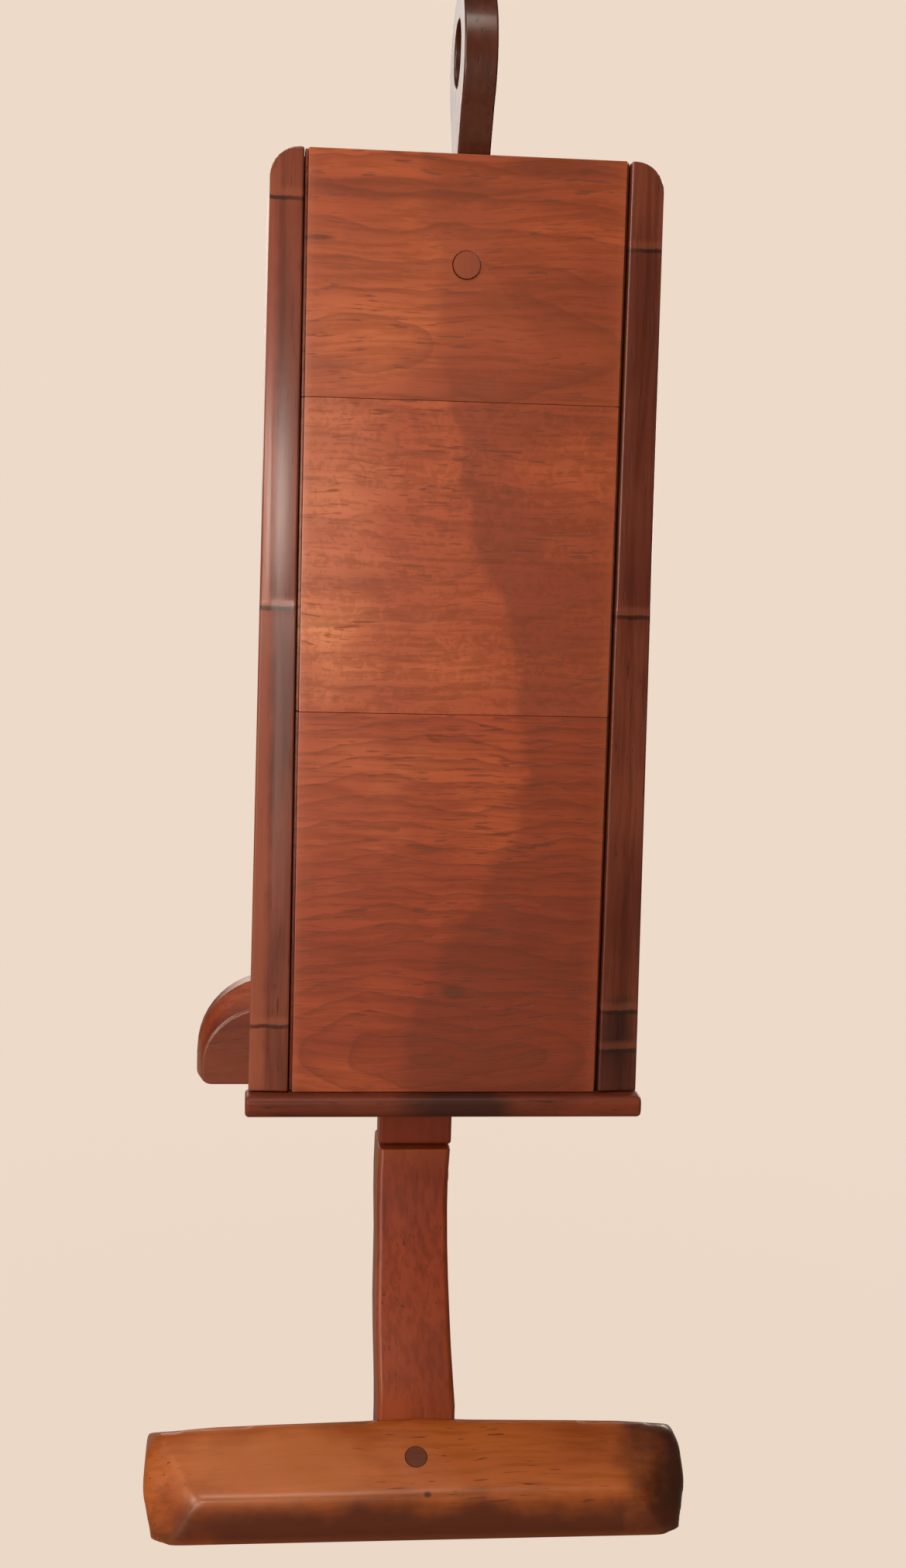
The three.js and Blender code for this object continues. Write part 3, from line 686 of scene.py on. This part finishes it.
def makeStrip(side):
    label = "left" if side < 0 else "right"
    node = label + "_strip"
    low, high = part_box(node)
    outer = side * strip["outer"]
    inner = high.x if side < 0 else low.x
    piece = addBox(label + "Strip", (min(outer, inner), low.y, low.z), (max(outer, inner), high.y, high.z))
    roundTopCorner(piece, outer, high.z, strip["corner"])
    for height, flare in strip["flares"]:
        z = low.z + height * mm
        if height:
            cutAcross(piece, (0, 0, z), (0, 0, 1))
        if flare:
            movePoints(piece, lambda p: at(p.z, z) and at(p.x, outer), (side * flare * mm, 0, 0))
    swell = strip["nodeSwell"]
    for z in strip["nodeHeights"]:
        for offset in strip["nodeCuts"]:
            cutAcross(piece, (0, 0, z + offset * mm), (0, 0, 1))
        movePoints(piece, lambda p: at(p.z, z, strip["nodeHalf"]) and at(p.y, low.y), (0, -swell, 0))
        movePoints(piece, lambda p: at(p.z, z, strip["nodeHalf"]) and at(p.x, outer), (side * swell, 0, 0))
    for inwards, back in strip["bow"]:
        x = outer - side * inwards * mm
        face = low.y + strip["skin"]
        if inwards:
            cutAcross(piece, (x, 0, 0), (1, 0, 0))
            movePoints(piece, lambda p: at(p.x, x) and p.y < face, (0, back * mm, 0))
        else:  # the outer edge with the points that flare past it
            movePoints(piece, lambda p: (p.x - x) * side > -1e-5 and p.y < face, (0, back * mm, 0))
    soften(piece, strip["edge"], 2, 55)
    shadeSmooth(piece, 50)
    finishPiece(piece, finishes["bamboo" + label.capitalize()], "strip_bamboo", node)


moulding = {"nose": 2.6 * mm, "edge": 1.2 * mm}


def makeMoulding():
    low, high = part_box("base_moulding")
    piece = addBox("baseMoulding", low, high)
    roundEdges(piece, lambda a, b: at(a.y, low.y) and at(b.y, low.y) and at(a.z, b.z), moulding["nose"], 6)
    soften(piece, moulding["edge"], 3, 50)
    shadeSmooth(piece, 50)
    finishPiece(piece, finishes["mouldingWood"], "strip_bamboo", "base_moulding")


makeBoards()
makePlainBoards()
makeStrip(-1)
makeStrip(1)
makeMoulding()
print("column done")

# "neckTurn" is how far round the rim, in degrees, the neck takes its width from
ring = {"x": 2 * mm, "thickness": 10.4 * mm, "radius": 22.5 * mm, "eye": 10.5 * mm, "eyeRise": 3 * mm,
        "distance": 15.2, "height": 0.5005, "neckHalf": 8.7 * mm, "neckTurn": 46, "neckDrop": 6 * mm,
        "neckGap": 0.3 * mm, "edge": 1.8 * mm}


def makeRing():
    radius, eye = ring["radius"], ring["eye"]
    middle = Vector((ring["x"], behind(ring["distance"]), ring["height"]))
    eyeMiddle = middle + Vector((0, 0, ring["eyeRise"]))
    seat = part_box("front_board_upper")[1].z + ring["neckGap"]
    deselectAll()
    bpy.ops.mesh.primitive_cylinder_add(vertices=64, radius=radius, depth=ring["thickness"],
                                        location=middle, rotation=(0, math.pi / 2, 0))
    piece = bakePlace(bpy.context.object)
    piece.name = "ringHandle"
    openEdit(piece, "FACE", lambda centre, normal: abs(normal.x) > 0.9)
    bpy.ops.mesh.inset(thickness=radius - eye, use_individual=True)
    bpy.ops.transform.translate(value=(0, 0, ring["eyeRise"]))
    bpy.ops.mesh.delete(type="FACE")
    closeEdit()

    def onEye(point):
        return at((point - eyeMiddle).yz.length, eye, 1e-4)

    openEdit(piece, "EDGE", lambda a, b: onEye(a) and onEye(b) and at(a.x, b.x, 1e-6))
    bpy.ops.mesh.bridge_edge_loops()
    closeEdit()
    openEdit(piece, "FACE", lambda centre, normal: abs(normal.x) < 0.1 and normal.z < -0.7
             and (centre - middle).yz.length > radius * 0.9)
    bpy.ops.mesh.extrude_region_move(TRANSFORM_OT_translate={"value": (0, 0, -ring["neckDrop"])})
    halfWidth = radius * math.sin(math.radians(ring["neckTurn"]))
    bpy.ops.transform.resize(value=(1, ring["neckHalf"] / halfWidth, 0),
                             center_override=(middle.x, middle.y, seat))
    closeEdit()
    repairNormals(piece)
    soften(piece, ring["edge"], 4, 50)
    shadeSmooth(piece, 50)
    finishPiece(piece, finishes["ringWood"], "strip_bamboo", "ring_handle")


makeRing()
print("ring done")

# each station: height, front and rear distance behind the column's face, left and right sides
leg = {"half": 14 * mm, "startDepth": 200, "corner": 2.0 * mm, "edge": 0.5 * mm, "stations": [
    (5.3, 66.3, 93.0, -14.0, 14.0), (30.0, 66.3, 93.0, -14.0, 14.2), (38.0, 66.6, 94.0, -14.1, 14.2),
    (46.0, 68.6, 96.0, -14.3, 13.6), (57.0, 72.5, 99.5, -14.6, 12.9), (68.5, 77.5, 104.0, -14.7, 12.5),
    (80.0, 83.0, 109.0, -14.4, 12.2), (91.5, 88.3, 114.0, -14.1, 12.1), (104.0, 93.2, 119.0, -14.2, 12.2),
    (115.0, 96.6, 122.2, -14.1, 12.5), (125.6, 98.0, 124.0, -13.7, 13.2)]}


# Moves the points of one level: the rear and front faces, then the two sides.
def shapeLevel(piece, z, start, front, rear, left, right):
    frontStart, rearStart = start
    movePoints(piece, lambda p: at(p.z, z) and at(p.y, rearStart), (0, rear - rearStart, 0))
    movePoints(piece, lambda p: at(p.z, z) and at(p.y, frontStart), (0, front - frontStart, 0))
    movePoints(piece, lambda p: at(p.z, z) and p.x < 0, (left + leg["half"], 0, 0))
    movePoints(piece, lambda p: at(p.z, z) and p.x > 0, (right - leg["half"], 0, 0))


def makeLeg():
    stations = leg["stations"]
    bottom, top = stations[0][0] * mm, stations[-1][0] * mm
    start = (behind(0), behind(leg["startDepth"]))
    piece = addBox("legPost", (-leg["half"], start[0], bottom), (leg["half"], start[1], top))
    for station in stations[1:-1]:
        cutAcross(piece, (0, 0, station[0] * mm), (0, 0, 1))
    for z, front, rear, left, right in stations:
        shapeLevel(piece, z * mm, start, behind(front), behind(rear), left * mm, right * mm)
    roundEdges(piece, lambda a, b: not at(a.z, b.z, 5 * mm) and at(a.x, b.x, 2 * mm), leg["corner"], 4)
    soften(piece, leg["edge"], 2, 50)
    shadeSmooth(piece, 60)
    finishPiece(piece, finishes["legWood"], "leg_wood", "leg")


# each level: height, left and right sides, spreading a little just under the column
spine = {"edge": 1.2 * mm, "levels": [(126.0, -13.4, 13.8), (148.0, -13.4, 13.8), (157.0, -13.4, 14.2),
                                      (163.0, -13.5, 15.0), (167.2, -13.8, 16.6), (169.0, -14.0, 14.0)]}


def makeSpine():
    low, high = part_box("spine")
    levels = spine["levels"]
    piece = addBox("spinePost", (-leg["half"], low.y, levels[0][0] * mm), (leg["half"], high.y, high.z))
    for level in levels[1:]:
        cutAcross(piece, (0, 0, level[0] * mm), (0, 0, 1))
    for z, left, right in levels:
        shapeLevel(piece, z * mm, (low.y, high.y), low.y, high.y, left * mm, right * mm)
    soften(piece, spine["edge"], 3, 40)
    shadeSmooth(piece, 60)
    finishPiece(piece, finishes["shadedNeckWood"], "leg_wood", "spine")


makeLeg()
makeSpine()
print("leg and spine done")

# places are across, behind the column's face, and height, in millimetres; a slope is the way its face looks;
# "sag" is how far the crowned ridge drops at a distance from its middle; "notch" is the leg's socket
foot = {"grid": 1.3 * mm, "smoothing": 14, "crown": 26 * mm, "sole": 1.2 * mm,
        "ridge": 66, "bevelEdge": (0, 42, 16),
        "frontSlope": (0, -16, 1), "bevelSlope": (0, -19, 24), "rearSlope": (0, 33, 62),
        "sag": [(0.0, 0.0), (20.0, -1.2), (48.0, -1.9), (73.0, -2.6), (90.0, -4.0)],
        "endPlanes": [((78.7, 42, 16), (0.518, -0.642, 0.565)), ((78.7, 42, 16), (0.569, -0.731, 0.377)),
                      ((98.3, 60, 15), (1.0, 0, 0.08)), ((97.1, 60, 24), (0.87, 0, 0.49)),
                      ((94.0, 60, 28.8), (0.57, 0, 0.82)), ((98.3, 60, 12), (1.0, 0, -0.28)),
                      ((84.0, 128, 0), (0.72, 0.69, 0.12))],
        "notch": ((-14.2, 66.0, 5), (14.4, 95.5, 50)),
        "plugGap": 0.2 * mm, "plugDepth": 7 * mm, "plugBehind": 53.9, "plugHeight": 25.4 * mm}


def footPlace(across, distance, height):
    return across * mm, behind(distance), height * mm


def sagAt(distance):
    for (near, first), (far, second) in zip(foot["sag"], foot["sag"][1:]):
        if distance <= far:
            return first + (second - first) * (distance - near) / (far - near)
    return foot["sag"][-1][1]


def makeFoot():
    low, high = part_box("foot_bar")
    piece = addBox("footBar", low, high)
    planeOff(piece, (0, low.y, 0), foot["frontSlope"])
    planeOff(piece, footPlace(*foot["bevelEdge"]), foot["bevelSlope"])
    planeOff(piece, (0, behind(foot["ridge"]), high.z), foot["rearSlope"])
    cutAcross(piece, (0, 0, 0), (1, 0, 0))
    for side in (-1, 1):
        for x, drop in foot["sag"][1:]:
            cutAcross(piece, (side * x * mm, 0, 0), (1, 0, 0))
    crown = foot["crown"]
    ridgePlaces = {round(p.co.x, 6) for p in piece.data.vertices if p.co.z > crown}
    for place in sorted(ridgePlaces):
        movePoints(piece, lambda p: at(p.x, place, 2e-6) and p.z > crown, (0, 0, sagAt(abs(place) / mm) * mm))
    for side in (-1, 1):
        for point, (across, back, up) in foot["endPlanes"]:
            x, y, z = footPlace(*point)
            planeOff(piece, (side * x, y, z), (side * across, back, up))
    applyModifier(piece, "REMESH", mode="VOXEL", voxel_size=foot["grid"])
    applyModifier(piece, "SMOOTH", factor=0.5, iterations=foot["smoothing"])
    openEdit(piece, "VERT", lambda p: p.z < foot["sole"])
    bpy.ops.transform.resize(value=(1, 1, 0), center_override=(0, 0, 0))
    closeEdit()
    notchLow, notchHigh = foot["notch"]
    carve(piece, addBox("notchTool", footPlace(*notchLow), footPlace(*notchHigh)))
    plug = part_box("foot_plug")
    out, up = foot["bevelSlope"][1:]
    drillHole(piece, plug, foot["plugGap"], foot["plugDepth"],
              ((plug[0].x + plug[1].x) / 2, behind(foot["plugBehind"]), foot["plugHeight"]),
              math.atan2(-out, up))
    shadeSmooth(piece, 60)
    finishPiece(piece, finishes["footWood"], "foot_wood", "foot_bar")


makeFoot()
print("foot done")

# "front" is the share of the width and height that is left at the bevelled front face
arms = {"lower": {"corner": 29 * mm, "front": (0.976, 0.76)},
        "middle": {"corner": 24 * mm, "front": (0.95, 0.8)},
        "upper": {"corner": 24 * mm, "front": (0.95, 0.8)}}
armShape = {"bevelDepth": 8 * mm, "lowerCorner": 4 * mm, "edge": 0.9 * mm, "plugGap": 0.2 * mm,
            "plugDepth": 9 * mm}


def makeArm(part, values):
    low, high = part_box(part + "_arm")
    piece = addBox(part + "Arm", (low.x, low.y + armShape["bevelDepth"], low.z), high)
    for top, radius, steps in ((True, values["corner"], 12), (False, armShape["lowerCorner"], 5)):
        level = high.z if top else low.z
        roundEdges(piece, lambda a, b: at(a.z, level) and at(b.z, level) and at(a.x, b.x, 1e-6)
                   and at(abs(a.x), high.x), radius, steps)
    openEdit(piece, "FACE", lambda centre, normal: normal.y < -0.9)
    bpy.ops.mesh.extrude_region_move(TRANSFORM_OT_translate={"value": (0, -armShape["bevelDepth"], 0)})
    bpy.ops.transform.resize(value=(values["front"][0], 1, values["front"][1]),
                             center_override=(0, low.y, low.z))
    closeEdit()
    soften(piece, armShape["edge"], 3, 22)
    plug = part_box(part + "_arm_plug")
    drillHole(piece, plug, armShape["plugGap"], armShape["plugDepth"], (0, high.y, middleHeight(plug)))
    shadeSmooth(piece, 40)
    finishPiece(piece, finishes["armWood"], "column_wood", part + "_arm")


for part, values in arms.items():
    makeArm(part, values)
print("peg boards done")

# the small parts that keep their CAD shape, by finish
keptFinishes = {
    "plugWood": ["panel_plug", "leg_pin", "ring_pin", "lower_arm_plug", "middle_arm_plug", "upper_arm_plug"],
    "footPlugWood": ["foot_plug"],
    "pegWood": [f"{part}_peg_{side}" for part in arms for side in ("left", "right")],
    "screwSteel": ["foot_screw", "panel_screw", "lower_arm_screw", "middle_arm_screw", "upper_arm_screw"],
}
for name, nodes in keptFinishes.items():
    for node in nodes:
        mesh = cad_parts[node].data
        mesh.materials.clear()
        mesh.materials.append(finishes[name])
print("small parts finished")

# the floor's own glow rises from "glowNear" under the object to 1 over the "fade" distances
studio = {"ground": "eddac9", "floorSize": 12, "floorShade": (0.35, 0.29, 0.24, 1.0), "glowNear": 0.97,
          "fade": (0.1, 0.6), "airLight": 0.1, "lens": 48.0,
          "cameraPlace": (-0.0680, -0.7433, 0.3597), "cameraTurn": (82.772, -1.567, -5.719)}


def makeStage():
    deselectAll()
    bpy.ops.mesh.primitive_plane_add(size=studio["floorSize"], location=(0, 0, 0))
    floor = bpy.context.object
    floor.name = "studioFloor"
    material = bpy.data.materials.new("studioGround")
    material.use_nodes = True
    tree = material.node_tree
    tree.nodes.clear()
    matt = put(tree, "BsdfDiffuse", {"Color": studio["floorShade"]})
    glow = put(tree, "Emission", {"Color": colour(studio["ground"]), "Strength": 1.0})
    seen = put(tree, "LightPath").outputs["Is Camera Ray"]
    place = put(tree, "TexCoord").outputs["Object"]
    away = put(tree, "VectorMath", {0: place}, operation="LENGTH").outputs["Value"]
    rise = calc(tree, "MULTIPLY", ramp(tree, away, *studio["fade"]), 1.0 - studio["glowNear"])
    share = calc(tree, "MULTIPLY", seen, calc(tree, "ADD", studio["glowNear"], rise))
    mixed = put(tree, "MixShader", {0: share, 1: matt.outputs[0], 2: glow.outputs[0]})
    put(tree, "OutputMaterial", {"Surface": mixed.outputs[0]})
    floor.data.materials.append(material)
    world = bpy.data.worlds.new("studioAir")
    bpy.context.scene.world = world
    world.use_nodes = True
    tree = world.node_tree
    tree.nodes.clear()
    seen = put(tree, "LightPath").outputs["Is Camera Ray"]
    unlit = calc(tree, "MULTIPLY", seen, 1.0 - studio["airLight"])
    strength = calc(tree, "ADD", unlit, studio["airLight"])
    sky = put(tree, "Background", {"Color": colour(studio["ground"]), "Strength": strength})
    put(tree, "OutputWorld", {"Surface": sky.outputs[0]})


lamps = [
    # name, place, aimed at, width, height, watts, colour
    ("windowLight", (-0.165, -0.74, 0.365), (-0.05, -0.08, 0.35), 0.05, 0.08, 0.95, (1.0, 0.92, 0.82)),
    ("sideLight", (-0.84, -0.68, 0.72), (0.0, -0.06, 0.26), 0.5, 0.6, 8.5, (1.0, 0.9, 0.78)),
    ("lowLight", (-0.45, -0.95, 0.22), (0.0, -0.02, 0.12), 0.4, 0.25, 3.4, (1.0, 0.9, 0.78)),
    ("ceilingLight", (-0.1, -0.6, 1.3), (0.0, -0.05, 0.1), 0.4, 0.4, 5.0, (1.0, 0.9, 0.78)),
    ("backLight", (0.75, 0.95, 0.6), (0.0, 0.05, 0.25), 0.6, 0.6, 9.0, (1.0, 0.9, 0.8)),
    ("rimLight", (-0.40, 1.1, 0.85), (0.0, 0.0, 0.42), 0.5, 1.0, 5.0, (1.0, 0.9, 0.82)),
]


def makeLights():
    for name, place, target, width, height, watts, tint in lamps:
        data = bpy.data.lights.new(name, "AREA")
        data.shape = "RECTANGLE"
        data.size = width
        data.size_y = height
        data.energy = watts
        data.color = tint
        lamp = bpy.data.objects.new(name, data)
        lamp.location = place
        lamp.visible_camera = False
        lamp.rotation_euler = (Vector(target) - Vector(place)).to_track_quat("-Z", "Y").to_euler()
        bpy.context.scene.collection.objects.link(lamp)


def makeCamera():
    data = bpy.data.cameras.new("studioCamera")
    data.lens = studio["lens"]
    camera = bpy.data.objects.new("studioCamera", data)
    camera.location = studio["cameraPlace"]
    camera.rotation_euler = [math.radians(turn) for turn in studio["cameraTurn"]]
    bpy.context.scene.collection.objects.link(camera)
    bpy.context.scene.camera = camera
    bpy.context.scene.view_settings.view_transform = "Standard"


makeStage()
makeLights()
makeCamera()
print("studio ready")
